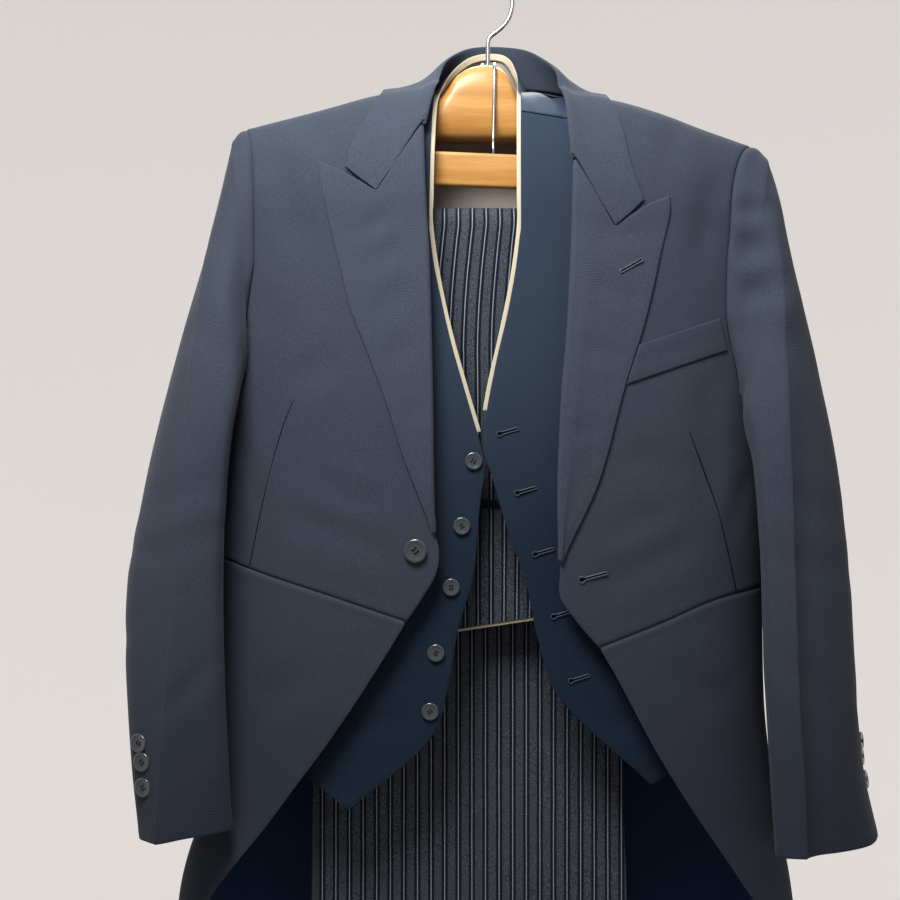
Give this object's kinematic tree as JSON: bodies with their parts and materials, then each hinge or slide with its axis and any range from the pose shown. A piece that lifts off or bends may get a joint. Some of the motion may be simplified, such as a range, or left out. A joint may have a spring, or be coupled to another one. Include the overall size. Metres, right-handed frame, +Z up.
{
  "type": "morning suit on a hanger",
  "caption": "Tailcoat with peaked lapels, buttoned waistcoat and folded striped trousers, hung as one suit on a wooden hanger with a wire hook.",
  "frame": {"origin": "bearing point under the top of the hanger's hook", "axes": "+X towards the wearer's left, +Y from the suit's front towards its back, +Z up along the hook's stem"},
  "size_m": [0.6526, 0.1861, 1.0699],
  "materials": {
    "coat_cloth": "dark blue-grey wool",
    "vest_cloth": "dark blue wool",
    "vest_back_satin": "black satin",
    "tail_lining_satin": "dark satin",
    "ivory_slip": "ivory cotton",
    "trouser_cloth": "grey and black striped wool",
    "button_horn": "dark grey, satin",
    "hanger_wood": "light lacquered beech",
    "hook_steel": "polished wire"
  },
  "bodies": {
    "root": {"back_button_L": "button_horn", "back_button_R": "button_horn", "chest_welt": "coat_cloth", "coat_back_L": "coat_cloth", "coat_back_R": "coat_cloth", "coat_button": "button_horn", "coat_front_L": "coat_cloth", "coat_front_R": "coat_cloth", "coat_side_L": "coat_cloth", "coat_side_R": "coat_cloth", "coat_skirt_L": "coat_cloth", "coat_skirt_R": "coat_cloth", "collar": "coat_cloth", "cuff_button_L1": "button_horn", "cuff_button_L2": "button_horn", "cuff_button_L3": "button_horn", "cuff_button_R1": "button_horn", "cuff_button_R2": "button_horn", "cuff_button_R3": "button_horn", "hanger_body": "hanger_wood", "hanger_hook": "hook_steel", "lapel_L": "coat_cloth", "lapel_R": "coat_cloth", "sleeve_top_L": "coat_cloth", "sleeve_top_R": "coat_cloth", "sleeve_under_L": "coat_cloth", "sleeve_under_R": "coat_cloth", "tail_lining_L": "tail_lining_satin", "tail_lining_R": "tail_lining_satin", "trouser_hanger_bar": "hanger_wood", "trouser_hanger_hook": "hook_steel", "trouser_hanger_link_L": "hook_steel", "trouser_hanger_link_R": "hook_steel", "trouser_hanger_rail": "hanger_wood", "trousers_leg_L": "trouser_cloth", "trousers_leg_R": "trouser_cloth", "trousers_pocket_welt": "trouser_cloth", "trousers_waist_lining": "ivory_slip", "vest_back": "vest_back_satin", "vest_button_1": "button_horn", "vest_button_2": "button_horn", "vest_button_3": "button_horn", "vest_button_4": "button_horn", "vest_button_5": "button_horn", "vest_front_L": "vest_cloth", "vest_front_R": "vest_cloth", "vest_slip": "ivory_slip"}
  },
  "joints": []
}
